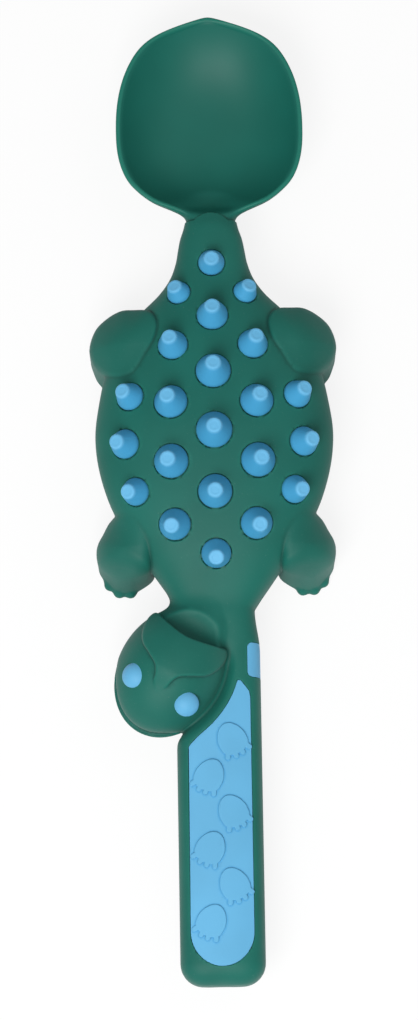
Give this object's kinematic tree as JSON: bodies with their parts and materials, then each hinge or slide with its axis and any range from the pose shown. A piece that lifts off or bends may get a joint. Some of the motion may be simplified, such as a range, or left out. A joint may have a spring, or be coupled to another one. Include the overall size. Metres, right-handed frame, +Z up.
{
  "type": "baby spoon",
  "caption": "Toddler spoon with a rounded bowl, a soft dinosaur-shaped grip set with blunt spikes, and a straight handle with an inlay.",
  "frame": {"origin": "on the ground under the middle of the spoon's length and width", "axes": "+Y towards the tip of the bowl, +X to the right seen from above with the bowl away, +Z up out of the dinosaur's back"},
  "size_m": [0.0356, 0.14, 0.0205],
  "materials": {
    "green_core": "stiff dark green plastic with a satin skin",
    "green_grip": "soft-touch dark green silicone rubber, fine grained and matte",
    "blue_inlay": "light blue soft rubber, smooth and matte",
    "blue_spike": "blue soft rubber with a paler blunt tip"
  },
  "bodies": {
    "root": {"spoon_core": "green_core", "body_grip": "green_grip", "handle_inlay": "blue_inlay", "neck_window": "blue_inlay", "eye_left": "blue_inlay", "eye_right": "blue_inlay", "spike_centre_1": "blue_spike", "spike_centre_2": "blue_spike", "spike_centre_3": "blue_spike", "spike_centre_4": "blue_spike", "spike_centre_5": "blue_spike", "spike_centre_6": "blue_spike", "spike_tail_left": "blue_spike", "spike_tail_right": "blue_spike", "spike_inner_left_1": "blue_spike", "spike_inner_left_2": "blue_spike", "spike_inner_left_3": "blue_spike", "spike_inner_left_4": "blue_spike", "spike_inner_right_1": "blue_spike", "spike_inner_right_2": "blue_spike", "spike_inner_right_3": "blue_spike", "spike_inner_right_4": "blue_spike", "spike_outer_left_1": "blue_spike", "spike_outer_left_2": "blue_spike", "spike_outer_left_3": "blue_spike", "spike_outer_right_1": "blue_spike", "spike_outer_right_2": "blue_spike", "spike_outer_right_3": "blue_spike"}
  },
  "joints": []
}
